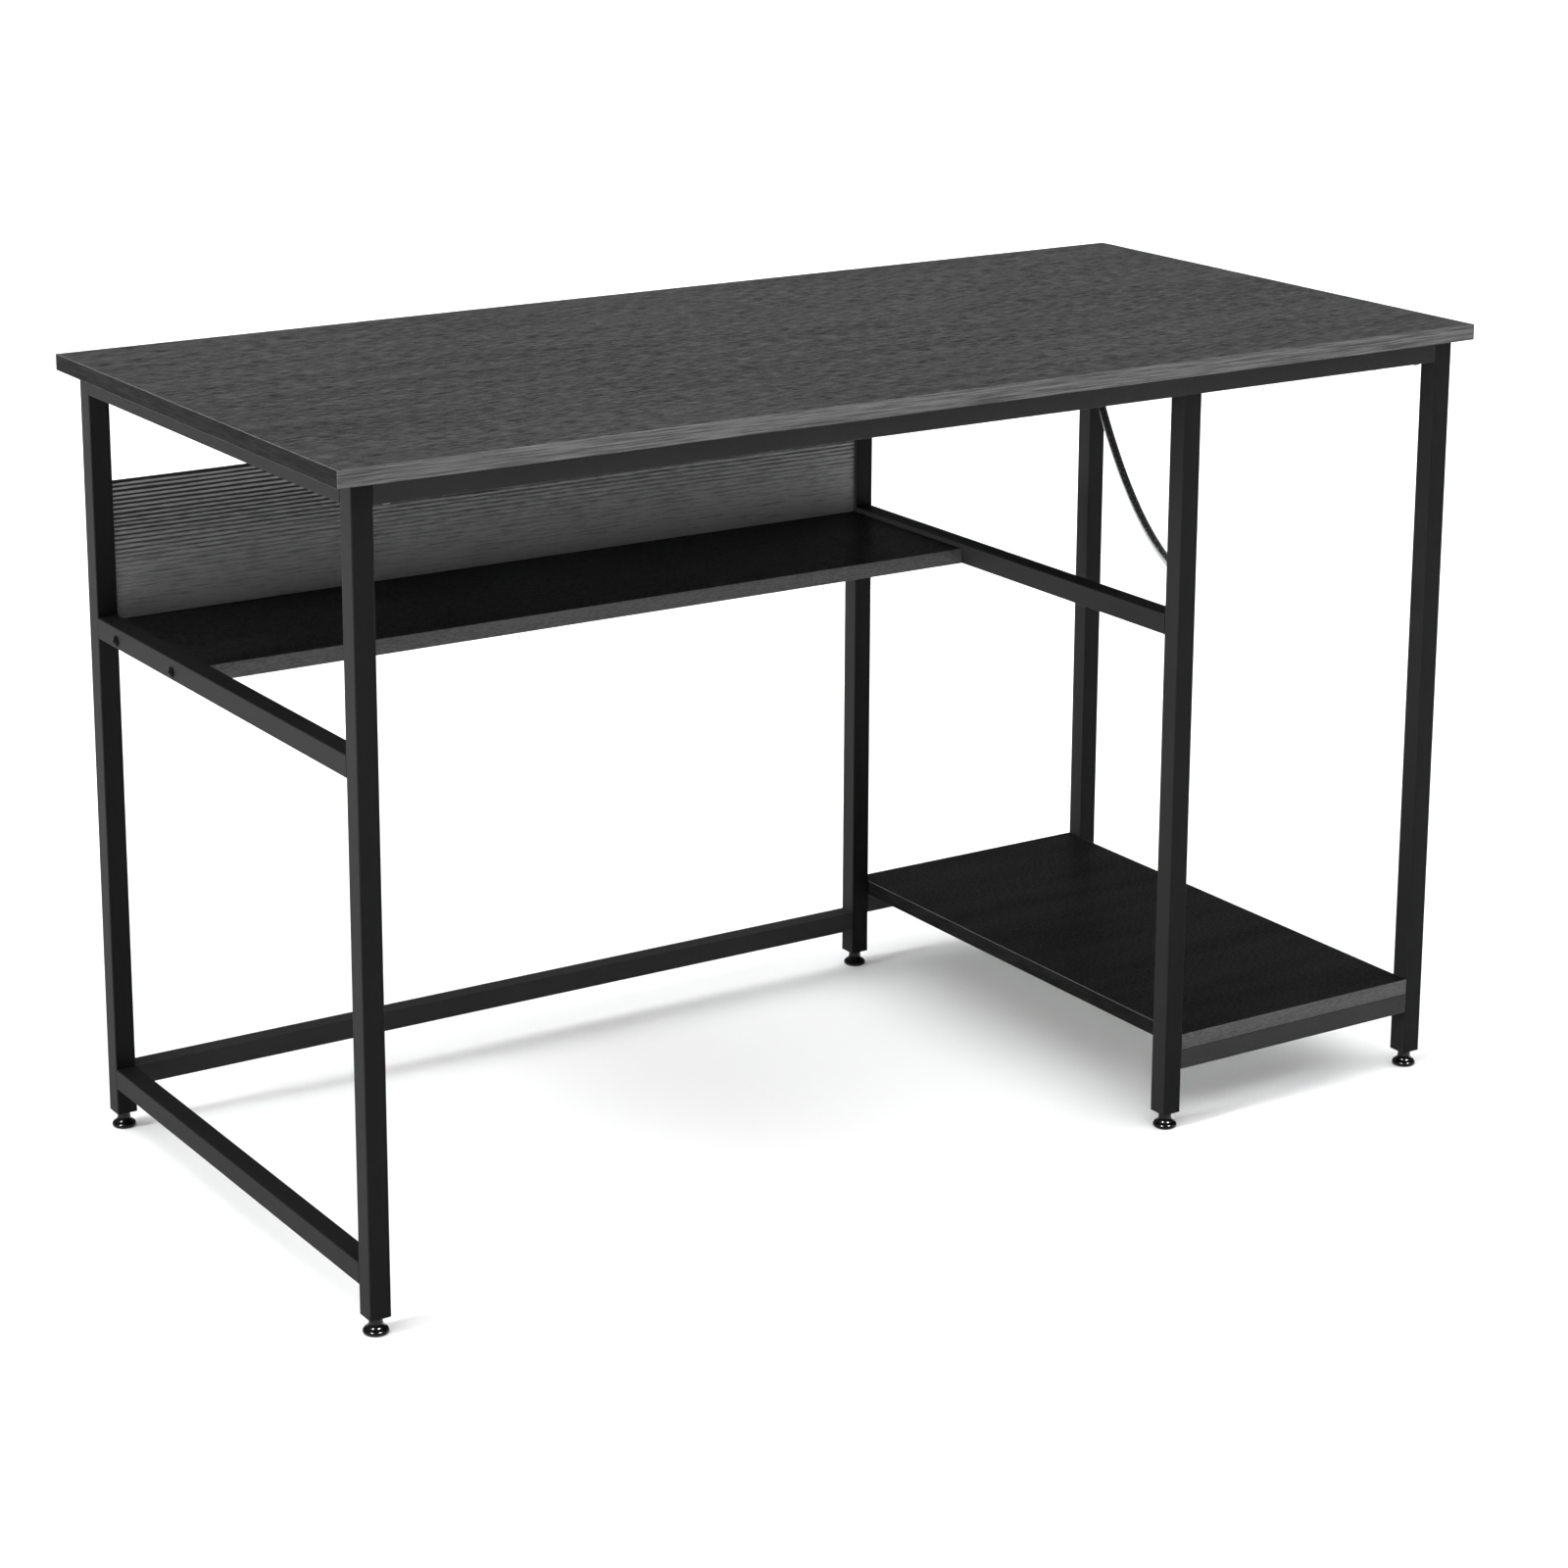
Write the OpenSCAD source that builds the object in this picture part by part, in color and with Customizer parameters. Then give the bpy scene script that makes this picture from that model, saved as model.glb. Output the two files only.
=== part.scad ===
// Computer desk: a laminated top on a welded square-tube frame, with a rear storage
// shelf and back panel on the left, a low tower shelf on the right, a bowed tie rod
// across the tower bay and six levelling feet.
// Millimetres. X runs left to right, Y from the front edge (-Y) to the rear (+Y), Z up.
// Origin: on the floor, under the middle of the desktop.

/* [Overall size] */
// width of the desktop, left to right
desk_w = 1200; // [1000:10:1500]
// depth of the desktop, front to rear
desk_d = 575; // [480:5:690]
// height of the desktop's upper face above the floor
desk_h = 750; // [650:5:900]

/* [Boards] */
// thickness of the desktop and of both shelves
board_t = 15; // [12:1:19]
// thickness of the plastic edge band
band_t = 0.6; // [0.4:0.1:1.2]
// thickness of the upright back panel
panel_t = 8; // [6:1:10]
// height of the back panel above the storage shelf
panel_h = 130; // [90:5:150]
// depth of the storage shelf, front edge to rear edge
storage_d = 208; // [180:4:250]
// how far the storage shelf lies below the tops of the rails that hold it
storage_recess = 5; // [2:1:5]

/* [Frame] */
// outside width of the square tube
tube = 20; // [20:1:26]
// wall thickness of the square tube
wall = 1.2; // [1:0.1:1.4]
// corner radius of the square tube
tube_r = 1.2; // [0.8:0.1:1.8]
// desktop overhang past the frame on the left and on the right
side_overhang = 17; // [8:1:30]
// desktop overhang past the frame at the front
front_overhang = 12; // [8:1:30]
// desktop overhang past the frame at the rear
rear_overhang = 13; // [8:1:30]
// clear width of the tower bay between the middle and right legs
bay_w = 283; // [240:1:340]
// height above the floor of the top of the two middle side rails
storage_rail_z = 506; // [420:2:510]
// height above the floor of the top of the low rails
low_rail_z = 62; // [60:1:90]
// height above the floor of the tower shelf's upper face
tower_z = 94; // [94:1:130]

/* [Tie rod] */
// diameter of the bowed rod
rod_d = 9; // [6:0.5:10]
// height above the floor where the rod enters the rear right leg
rod_rear_z = 585; // [540:5:620]
// height above the floor where the rod enters the front middle leg
rod_front_z = 546; // [530:2:580]
// radius of the rod's downward bow
rod_bend = 1800; // [900:50:3000]

/* [Feet] */
// height of a foot, screwed fully in, from floor to leg
foot_h = 16; // [15:1:22]
// widest diameter of the foot's bell
foot_d = 22.8; // [20:0.4:28]
// diameter of the foot's neck
neck_d = 12.2; // [11:0.2:13]
// diameter of the foot's steel stud
stud_d = 8; // [6:1:8]
// length of the stud above the bell
stud_l = 30; // [26:1:40]

/* [Hidden] */
$fn = 48;

// frame outline and levels
x_left = -desk_w / 2 + side_overhang;
x_right = desk_w / 2 - side_overhang;
y_front = -desk_d / 2 + front_overhang;
y_rear = desk_d / 2 - rear_overhang;
z_leg = foot_h;
z_rail = desk_h - board_t;
z_under = z_rail - tube;

// leg positions: low corner of each square
x_mid = x_right - 2 * tube - bay_w;
x_far = x_right - tube;
y_back = y_rear - tube;

// clear spans between tubes
span_all = x_far - x_left - tube;
span_left = x_mid - x_left - tube;
span_deep = y_back - y_front - tube;
x_in = x_left + tube;
x_bay = x_mid + tube;
y_in = y_front + tube;

// shelves and panel
storage_z = storage_rail_z - storage_recess - board_t;
storage_y = y_rear - storage_d;
tower_rail_z = tower_z - board_t;
panel_y = y_back + 4;
panel_z = storage_z + board_t;

// stubs that the removable rails slide over
stub_play = 0.1;
stub_w = tube - 2 * wall - 2 * stub_play;
stub_wall = 2;
stub_l = 30;
stub_screw_at = 16;

// tie rod: plan positions of its two ends, on the leg faces, and how far it goes inside
rod_rear_x = x_far + 0.65 * tube;
rod_front_x = x_mid + 0.6 * tube;
rod_in = 4;
rod_run = norm([rod_front_x - rod_rear_x, y_in - y_back]);
rod_drop = rod_front_z - rod_rear_z;
rod_chord = norm([rod_run, rod_drop]);
rod_rise = sqrt(rod_bend * rod_bend - rod_chord * rod_chord / 4);
rod_cs = rod_run / 2 - rod_rise * rod_drop / rod_chord;
rod_cz = (rod_rear_z + rod_front_z) / 2 + rod_rise * rod_run / rod_chord;

// screws: shank radius, head radius, head height
m5_r = 2.5;
m5_head_r = 5;
m5_head_h = 3;
m4_r = 2;
m4_head_r = 4;
m4_head_h = 2.4;
hole_play = 0.25;
stub_screw_l = 8;
board_bite = 11;
storage_bite = 18;
storage_screw_front = 23;
storage_screw_pitch = 123;

// bolts that tie the middle legs up to the long top rails
bolt_r = 3;
bolt_head_r = 5;
bolt_head_h = 4;
bolt_l = 16;
access_r = 6;
hex_key_r = 2.5;
hex_key_deep = 2.4;
top_plug_h = 20;

// panel tabs
tab_w = 18;
tab_h = 20;
tab_t = 2;
tab_margin = 22;
panel_bite = 5;

// foot and its socket
plug_h = 20;
nut_r = 6;
nut_h = 16;
stud_play = 0.05;
rim_r = 2.45;
flare_r = 6;
flare_edge = 1.5;

// ---- colours ----
black_coat = [0.13, 0.13, 0.135];
black_board = [0.10, 0.10, 0.10];
black_band = [0.17, 0.17, 0.17];
black_plastic = [0.05, 0.05, 0.055];
zinc = [0.72, 0.73, 0.74];

// ---- positions shared by several nodes ----

// low corners of the six legs: front left, rear left, front middle, rear middle,
// front right, rear right
leg_spots = [[x_left, y_front], [x_left, y_back], [x_mid, y_front],
  [x_mid, y_back], [x_far, y_front], [x_far, y_back]];

// where a stub starts, and the turn about Z that points it away from its leg
stub_spots = [
  [x_in, y_front + tube / 2, z_rail - tube / 2, 0],
  [x_far, y_front + tube / 2, z_rail - tube / 2, 180],
  [x_in, y_back + tube / 2, z_rail - tube / 2, 0],
  [x_far, y_back + tube / 2, z_rail - tube / 2, 180],
  [x_mid + tube / 2, y_in, z_rail - tube / 2, 90],
  [x_mid + tube / 2, y_back, z_rail - tube / 2, -90],
  [x_in, y_back + tube / 2, low_rail_z - tube / 2, 0],
  [x_mid, y_back + tube / 2, low_rail_z - tube / 2, 180],
  [x_bay, y_front + tube / 2, tower_rail_z - tube / 2, 0],
  [x_far, y_front + tube / 2, tower_rail_z - tube / 2, 180],
  [x_bay, y_back + tube / 2, tower_rail_z - tube / 2, 0],
  [x_far, y_back + tube / 2, tower_rail_z - tube / 2, 180]];

// desktop screws: four along each long rail, one in each side rail
long_rail_x = [x_in + 0.06 * span_all, x_in + 0.34 * span_all,
  x_in + 0.62 * span_all, x_in + 0.94 * span_all];
desktop_screw_spots = concat(
  [for (x = long_rail_x) [x, y_front + tube / 2]],
  [for (x = long_rail_x) [x, y_back + tube / 2]],
  [for (x = [x_left, x_mid, x_far]) [x + tube / 2, (y_front + y_rear) / 2]]);

storage_screw_y = [storage_y + storage_screw_front,
  storage_y + storage_screw_front + storage_screw_pitch];
storage_screw_z = storage_z + board_t / 2;

tower_screw_x = [x_bay + 0.22 * bay_w, x_bay + 0.78 * bay_w];
tower_screw_spots = [for (x = tower_screw_x, y = [y_front, y_back]) [x, y + tube / 2]];

panel_screw_z = [panel_z + tab_margin, panel_z + panel_h - tab_margin];

// ---- shapes ----

// square tube section with rounded outer corners, made of squares and circles only
module tube_section(size, r) {
  translate([r, 0]) square([size - 2 * r, size]);
  translate([0, r]) square([size, size - 2 * r]);
  for (x = [r, size - r], y = [r, size - r]) translate([x, y]) circle(r = r);
}

module hollow_section() {
  difference() {
    tube_section(tube, tube_r);
    translate([wall, wall]) square(tube - 2 * wall);
  }
}

// tube standing on its low corner
module upright(x, y, z0, z1) {
  translate([x, y, z0]) linear_extrude(z1 - z0) hollow_section();
}

// tube along X, low corner at x, y, z
module rail_along_x(x, y, z, len) {
  translate([x, y, z]) rotate([90, 0, 90]) linear_extrude(len) hollow_section();
}

// tube along Y, low corner at x, y, z
module rail_along_y(x, y, z, len) {
  translate([x, y + len, z]) rotate([90, 0, 0]) linear_extrude(len) hollow_section();
}

// pan-head screw pointing up: head below z = 0, shank above, cross recess in the head
module pan_screw(shank_r, len, head_r, head_h) {
  skirt = head_h * 0.35;
  dome = head_h - skirt;
  ball = (head_r * head_r + dome * dome) / (2 * dome);
  difference() {
    intersection() {
      translate([0, 0, -head_h]) cylinder(r = head_r, h = head_h);
      translate([0, 0, ball - head_h]) sphere(r = ball);
    }
    for (a = [0, 90]) rotate(a) {
      translate([-head_r / 2, -head_r / 10, -head_h - 1]) cube([head_r, head_r / 5, 1 + head_h / 2]);
    }
  }
  cylinder(r = shank_r, h = len);
}

// holes for the desktop screws through the rails below the board
module desktop_screw_holes(r, z0, z1) {
  for (p = desktop_screw_spots) translate([p[0], p[1], z0]) cylinder(r = r, h = z1 - z0);
}

// holes for the stub screws in the undersides of the rails or of the stubs
module stub_screw_holes(r, z0, z1) {
  for (s = stub_spots) {
    translate([s[0], s[1], s[2]]) rotate(s[3]) {
      translate([stub_screw_at, 0, z0]) cylinder(r = r, h = z1 - z0);
    }
  }
}

module rail_underside_holes() {
  stub_screw_holes(m5_r + hole_play, -tube / 2 - 1, -tube / 2 + wall + stub_play / 2);
}

module tower_screw_holes(r, z0, z1) {
  for (p = tower_screw_spots) translate([p[0], p[1], z0]) cylinder(r = r, h = z1 - z0);
}

module storage_screw_holes(r, x0, x1) {
  for (y = storage_screw_y) {
    translate([x0, y, storage_screw_z]) rotate([0, 90, 0]) cylinder(r = r, h = x1 - x0);
  }
}

// holes in a long top rail over the middle legs: bolt hole below, access hole above
module middle_bolt_holes() {
  for (y = [y_front, y_back]) translate([x_mid + tube / 2, y + tube / 2, 0]) {
    translate([0, 0, z_under - 1]) cylinder(r = bolt_r + hole_play, h = tube / 2);
    translate([0, 0, z_rail - tube / 2]) cylinder(r = access_r, h = tube);
  }
}

// strip of edge band as a ring round a board
module band_ring(w, d, t) {
  difference() {
    cube([w, d, t]);
    translate([band_t, band_t, -1]) cube([w - 2 * band_t, d - 2 * band_t, t + 2]);
  }
}

// bowed rod in the upright plane through its two ends; a round bar bent to one radius
module rod_bar() {
  a0 = atan2(rod_rear_z - rod_cz, -rod_cs);
  a1 = atan2(rod_front_z - rod_cz, rod_run - rod_cs);
  extra = rod_in / rod_bend * 180 / PI;
  translate([rod_rear_x, y_back, 0]) rotate(atan2(y_in - y_back, rod_front_x - rod_rear_x)) {
    rotate([90, 0, 0]) translate([rod_cs, rod_cz, 0]) {
      rotate_extrude(angle = a1 - a0 + 2 * extra, start = a0 - extra, $fn = 720) {
        translate([rod_bend, 0]) circle(r = rod_d / 2, $fn = 24);
      }
    }
  }
}

// foot bell: rounded rim, concave flare, narrow neck
module foot_bell(x, y) {
  bell_r = foot_d / 2;
  neck_r = neck_d / 2;
  flare_z = 2 * rim_r + flare_r;
  translate([x + tube / 2, y + tube / 2, 0]) difference() {
    rotate_extrude() {
      square([bell_r - rim_r, 2 * rim_r]);
      translate([bell_r - rim_r, 0]) intersection() {
        translate([0, rim_r]) circle(r = rim_r);
        square([rim_r, 2 * rim_r]);
      }
      difference() {
        translate([0, rim_r]) square([bell_r - flare_edge, foot_h - rim_r]);
        translate([neck_r + flare_r, flare_z]) circle(r = flare_r);
        translate([neck_r, flare_z]) square([bell_r, foot_h]);
      }
    }
    translate([0, 0, foot_h - nut_h / 2]) cylinder(r = stud_d / 2, h = nut_h);
  }
}

module foot_stud(x, y) {
  translate([x + tube / 2, y + tube / 2, foot_h - nut_h / 2]) {
    cylinder(r = stud_d / 2, h = stud_l + nut_h / 2);
  }
}

// ---- boards ----

module desktop_board() {
  color(black_board) difference() {
    translate([-desk_w / 2 + band_t, -desk_d / 2 + band_t, z_rail])
      cube([desk_w - 2 * band_t, desk_d - 2 * band_t, board_t]);
    desktop_screw_holes(m4_r, z_rail - 1, z_rail + board_bite);
  }
}

module desktop_edging() {
  color(black_band) translate([-desk_w / 2, -desk_d / 2, z_rail]) band_ring(desk_w, desk_d, board_t);
}

module storage_shelf_board() {
  color(black_board) difference() {
    translate([x_in, storage_y + band_t, storage_z]) cube([span_left, storage_d - 2 * band_t, board_t]);
    storage_screw_holes(m5_r, x_in - 1, x_in + storage_bite);
    storage_screw_holes(m5_r, x_mid - storage_bite, x_mid + 1);
  }
}

module storage_shelf_edging() {
  color(black_band) for (y = [storage_y, y_rear - band_t]) {
    translate([x_in, y, storage_z]) cube([span_left, band_t, board_t]);
  }
}

module back_panel() {
  color(black_board) difference() {
    translate([x_in, panel_y, panel_z]) cube([span_left, panel_t, panel_h - band_t]);
    for (x = [x_in + tab_w / 2, x_mid - tab_w / 2], z = panel_screw_z) {
      translate([x, panel_y + panel_t - panel_bite, z]) rotate([-90, 0, 0]) cylinder(r = m4_r, h = panel_t);
    }
  }
}

module back_panel_edging() {
  color(black_band) translate([x_in, panel_y, panel_z + panel_h - band_t])
    cube([span_left, panel_t, band_t]);
}

module tower_shelf_board() {
  color(black_board) difference() {
    translate([x_bay + band_t, y_front + band_t, tower_rail_z])
      cube([bay_w - 2 * band_t, y_rear - y_front - 2 * band_t, board_t]);
    tower_screw_holes(m4_r, tower_rail_z - 1, tower_rail_z + board_bite);
  }
}

module tower_shelf_edging() {
  color(black_band) translate([x_bay, y_front, tower_rail_z]) band_ring(bay_w, y_rear - y_front, board_t);
}

// ---- legs ----

module front_left_leg() {
  color(black_coat) upright(x_left, y_front, z_leg, z_rail);
}

module rear_left_leg() {
  color(black_coat) upright(x_left, y_back, z_leg, z_rail);
}

module front_middle_leg() {
  color(black_coat) difference() {
    upright(x_mid, y_front, z_leg, z_under);
    rod_bar();
  }
}

module rear_middle_leg() {
  color(black_coat) upright(x_mid, y_back, z_leg, z_under);
}

module front_right_leg() {
  color(black_coat) upright(x_far, y_front, z_leg, z_rail);
}

module rear_right_leg() {
  color(black_coat) difference() {
    upright(x_far, y_back, z_leg, z_rail);
    rod_bar();
  }
}

// ---- rails ----

module long_top_rail(y) {
  color(black_coat) difference() {
    rail_along_x(x_in, y, z_under, span_all);
    desktop_screw_holes(m4_r + hole_play, z_under - 1, z_rail + 1);
    rail_underside_holes();
    middle_bolt_holes();
  }
}

module front_top_rail() {
  long_top_rail(y_front);
}

module rear_top_rail() {
  long_top_rail(y_back);
}

module left_top_rail() {
  color(black_coat) difference() {
    rail_along_y(x_left, y_in, z_under, span_deep);
    desktop_screw_holes(m4_r + hole_play, z_under - 1, z_rail + 1);
  }
}

module middle_top_rail() {
  color(black_coat) difference() {
    rail_along_y(x_mid, y_in, z_under, span_deep);
    desktop_screw_holes(m4_r + hole_play, z_under - 1, z_rail + 1);
    rail_underside_holes();
  }
}

module right_top_rail() {
  color(black_coat) difference() {
    rail_along_y(x_far, y_in, z_under, span_deep);
    desktop_screw_holes(m4_r + hole_play, z_under - 1, z_rail + 1);
  }
}

module left_middle_rail() {
  color(black_coat) difference() {
    rail_along_y(x_left, y_in, storage_rail_z - tube, span_deep);
    storage_screw_holes(m5_r + hole_play, x_left - 1, x_in + 1);
  }
}

module middle_frame_rail() {
  color(black_coat) difference() {
    rail_along_y(x_mid, y_in, storage_rail_z - tube, span_deep);
    storage_screw_holes(m5_r + hole_play, x_mid - 1, x_bay + 1);
  }
}

module left_bottom_rail() {
  color(black_coat) rail_along_y(x_left, y_in, low_rail_z - tube, span_deep);
}

module rear_stretcher() {
  color(black_coat) difference() {
    rail_along_x(x_in, y_back, low_rail_z - tube, span_left);
    rail_underside_holes();
  }
}

module tower_rail(y) {
  color(black_coat) difference() {
    rail_along_x(x_bay, y, tower_rail_z - tube, bay_w);
    rail_underside_holes();
    tower_screw_holes(m4_r + hole_play, tower_rail_z - tube - 1, tower_rail_z + 1);
  }
}

module tower_front_rail() {
  tower_rail(y_front);
}

module tower_rear_rail() {
  tower_rail(y_back);
}

// ---- tie rod: from the rear right leg to the front middle leg ----

module tie_rod() {
  color(black_coat) rod_bar();
}

// ---- rail connectors ----

module rail_stubs() {
  color(black_coat) difference() {
    for (s = stub_spots) {
      translate([s[0], s[1], s[2]]) rotate(s[3]) {
        difference() {
          translate([0, -stub_w / 2, -stub_w / 2]) cube([stub_l, stub_w, stub_w]);
          translate([-1, -stub_w / 2 + stub_wall, -stub_w / 2 + stub_wall])
            cube([stub_l + 2, stub_w - 2 * stub_wall, stub_w - 2 * stub_wall]);
        }
      }
    }
    stub_screw_holes(m5_r, -tube / 2, 0);
  }
}

module rail_screws() {
  color(zinc) for (s = stub_spots) {
    translate([s[0], s[1], s[2] - tube / 2]) rotate(s[3]) translate([stub_screw_at, 0, 0]) {
      pan_screw(m5_r, stub_screw_l, m5_head_r, m5_head_h);
    }
  }
}

module middle_leg_plugs() {
  inner = tube - 2 * wall;
  color(black_plastic) for (y = [y_front, y_back]) {
    translate([x_mid + tube / 2, y + tube / 2, z_under - top_plug_h]) difference() {
      translate([-inner / 2, -inner / 2, 0]) cube([inner, inner, top_plug_h]);
      translate([0, 0, -1]) cylinder(r = bolt_r, h = top_plug_h + 2);
    }
  }
}

module middle_leg_bolts() {
  color(zinc) for (y = [y_front, y_back]) {
    translate([x_mid + tube / 2, y + tube / 2, z_under + wall]) {
      difference() {
        cylinder(r = bolt_head_r, h = bolt_head_h);
        translate([0, 0, bolt_head_h - hex_key_deep]) cylinder(r = hex_key_r, h = bolt_head_h, $fn = 6);
      }
      translate([0, 0, -bolt_l]) cylinder(r = bolt_r, h = bolt_l);
    }
  }
}

// ---- back panel fixings ----

module panel_tabs() {
  color(black_coat) difference() {
    for (x = [x_in, x_mid - tab_w], z = panel_screw_z) {
      translate([x, panel_y + panel_t, z - tab_h / 2]) cube([tab_w, tab_t, tab_h]);
    }
    for (x = [x_in + tab_w / 2, x_mid - tab_w / 2], z = panel_screw_z) {
      translate([x, panel_y + panel_t - 1, z]) rotate([-90, 0, 0]) cylinder(r = m4_r + hole_play, h = tab_t + 2);
    }
  }
}

module panel_screws() {
  color(zinc) for (x = [x_in + tab_w / 2, x_mid - tab_w / 2], z = panel_screw_z) {
    translate([x, panel_y + panel_t + tab_t, z]) rotate([90, 0, 0]) {
      pan_screw(m4_r, panel_bite + tab_t, m4_head_r, m4_head_h);
    }
  }
}

// ---- shelf and desktop screws ----

module storage_shelf_screws() {
  color(black_coat) for (y = storage_screw_y) {
    translate([x_left, y, storage_screw_z]) rotate([0, 90, 0]) {
      pan_screw(m5_r, tube + storage_bite, m5_head_r, m5_head_h);
    }
    translate([x_bay, y, storage_screw_z]) rotate([0, -90, 0]) {
      pan_screw(m5_r, tube + storage_bite, m5_head_r, m5_head_h);
    }
  }
}

module tower_shelf_screws() {
  color(zinc) for (p = tower_screw_spots) {
    translate([p[0], p[1], tower_rail_z - tube]) pan_screw(m4_r, tube + board_bite, m4_head_r, m4_head_h);
  }
}

module desktop_screws() {
  color(zinc) for (p = desktop_screw_spots) {
    translate([p[0], p[1], z_under]) pan_screw(m4_r, tube + board_bite, m4_head_r, m4_head_h);
  }
}

// ---- foot sockets ----

module leg_plugs() {
  inner = tube - 2 * wall;
  color(black_plastic) for (p = leg_spots) {
    translate([p[0] + tube / 2, p[1] + tube / 2, z_leg]) difference() {
      translate([-inner / 2, -inner / 2, 0]) cube([inner, inner, plug_h]);
      translate([0, 0, -1]) cylinder(r = nut_r, h = nut_h + 1);
      cylinder(r = stud_d / 2 + 0.5, h = plug_h + 1);
    }
  }
}

module leg_nuts() {
  color(zinc) for (p = leg_spots) {
    translate([p[0] + tube / 2, p[1] + tube / 2, z_leg]) difference() {
      cylinder(r = nut_r, h = nut_h);
      translate([0, 0, -1]) cylinder(r = stud_d / 2 + stud_play, h = nut_h + 2);
    }
  }
}

// ---- feet ----

module front_left_foot_stud() {
  color(zinc) foot_stud(x_left, y_front);
}

module rear_left_foot_stud() {
  color(zinc) foot_stud(x_left, y_back);
}

module front_middle_foot_stud() {
  color(zinc) foot_stud(x_mid, y_front);
}

module rear_middle_foot_stud() {
  color(zinc) foot_stud(x_mid, y_back);
}

module front_right_foot_stud() {
  color(zinc) foot_stud(x_far, y_front);
}

module rear_right_foot_stud() {
  color(zinc) foot_stud(x_far, y_back);
}

module front_left_foot_base() {
  color(black_plastic) foot_bell(x_left, y_front);
}

module rear_left_foot_base() {
  color(black_plastic) foot_bell(x_left, y_back);
}

module front_middle_foot_base() {
  color(black_plastic) foot_bell(x_mid, y_front);
}

module rear_middle_foot_base() {
  color(black_plastic) foot_bell(x_mid, y_back);
}

module front_right_foot_base() {
  color(black_plastic) foot_bell(x_far, y_front);
}

module rear_right_foot_base() {
  color(black_plastic) foot_bell(x_far, y_back);
}

desktop_board();
desktop_edging();
storage_shelf_board();
storage_shelf_edging();
back_panel();
back_panel_edging();
tower_shelf_board();
tower_shelf_edging();
front_left_leg();
rear_left_leg();
front_middle_leg();
rear_middle_leg();
front_right_leg();
rear_right_leg();
front_top_rail();
rear_top_rail();
left_top_rail();
middle_top_rail();
right_top_rail();
left_middle_rail();
middle_frame_rail();
left_bottom_rail();
rear_stretcher();
tower_front_rail();
tower_rear_rail();
tie_rod();
rail_stubs();
rail_screws();
middle_leg_plugs();
middle_leg_bolts();
panel_tabs();
panel_screws();
storage_shelf_screws();
tower_shelf_screws();
desktop_screws();
leg_plugs();
leg_nuts();
front_left_foot_stud();
rear_left_foot_stud();
front_middle_foot_stud();
rear_middle_foot_stud();
front_right_foot_stud();
rear_right_foot_stud();
front_left_foot_base();
rear_left_foot_base();
front_middle_foot_base();
rear_middle_foot_base();
front_right_foot_base();
rear_right_foot_base();
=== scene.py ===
import math

import bmesh
import bpy
from mathutils import Matrix, Vector


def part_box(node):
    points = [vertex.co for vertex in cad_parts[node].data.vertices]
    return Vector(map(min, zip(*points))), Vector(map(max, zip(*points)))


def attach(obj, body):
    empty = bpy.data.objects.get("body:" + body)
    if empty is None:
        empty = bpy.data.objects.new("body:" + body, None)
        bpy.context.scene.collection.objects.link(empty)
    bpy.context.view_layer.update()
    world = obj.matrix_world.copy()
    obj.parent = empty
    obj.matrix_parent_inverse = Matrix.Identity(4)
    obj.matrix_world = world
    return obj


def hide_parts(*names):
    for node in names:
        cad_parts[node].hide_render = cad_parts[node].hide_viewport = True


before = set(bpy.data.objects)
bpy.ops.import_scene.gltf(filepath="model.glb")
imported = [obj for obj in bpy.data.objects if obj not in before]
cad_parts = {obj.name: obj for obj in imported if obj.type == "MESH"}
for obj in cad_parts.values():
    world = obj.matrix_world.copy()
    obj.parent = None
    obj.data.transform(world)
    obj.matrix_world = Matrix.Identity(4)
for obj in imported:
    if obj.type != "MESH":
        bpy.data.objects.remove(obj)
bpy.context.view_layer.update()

bl_info = {
    "name": "Tower desk",
    "version": (1, 0, 0),
    "blender": (4, 5, 0),
    "location": "3D View > Sidebar > Desk",
    "description": "Dresses a steel-framed computer desk with its boards, feet, rod and finishes",
    "category": "Object",
}

LEGS = ("front_left", "rear_left", "front_middle", "rear_middle", "front_right", "rear_right")
LONG_RAILS = ("front_top_rail", "rear_top_rail", "rear_stretcher")
TOWER_RAILS = ("tower_front_rail", "tower_rear_rail")
SIDE_RAILS = ("left_top_rail", "middle_top_rail", "right_top_rail", "left_middle_rail", "middle_frame_rail",
              "left_bottom_rail")
MM = 0.001
PER_METRE = 1000  # millimetres in a metre: this over a grain's size in millimetres is its texture scale
PLASTIC_IOR = 1.5
WAVE_PERIOD = 0.314  # metres between the bands of a wave texture of scale 1
DEEP_GRAIN_PITCH = 0.0042  # metres between the back panel's broad lines
FACING = 0.8  # a face looks along an axis when its normal has more than this of it
BAND_SEGMENTS = 3  # in a band's rounded arris
ROD_REACH = 4 * MM  # how far the tie rod's ends reach into the legs
ROD_SIDES, ROD_STEPS = 24, 48
RIM_STEPS, FLARE_STEPS, BELL_SIDES = 9, 10, 48
RIM_BARE = 1.5 * MM  # the part of a foot's rim that its flare leaves bare, measured inwards
STUD_SIDES = 20
STUD_CHAMFER = 0.4 * MM
WELD = 1e-6  # metres: vertices closer than this are one
LEVEL = 1e-7  # metres: vertices this close in height are level


def linear(text):
    """A linear RGBA colour from an sRGB hex value such as #3c3c3c."""
    channels = [int(text[i:i + 2], 16) / 255 for i in (1, 3, 5)]
    return tuple(c / 12.92 if c <= 0.04045 else ((c + 0.055) / 1.055) ** 2.4 for c in channels) + (1.0,)


# ---- sizes and colours a user would change ----


def length(name, description, default, low, high):
    return bpy.props.FloatProperty(
        name=name, description=description, default=default, min=low, max=high, unit="LENGTH", precision=5
    )


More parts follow.
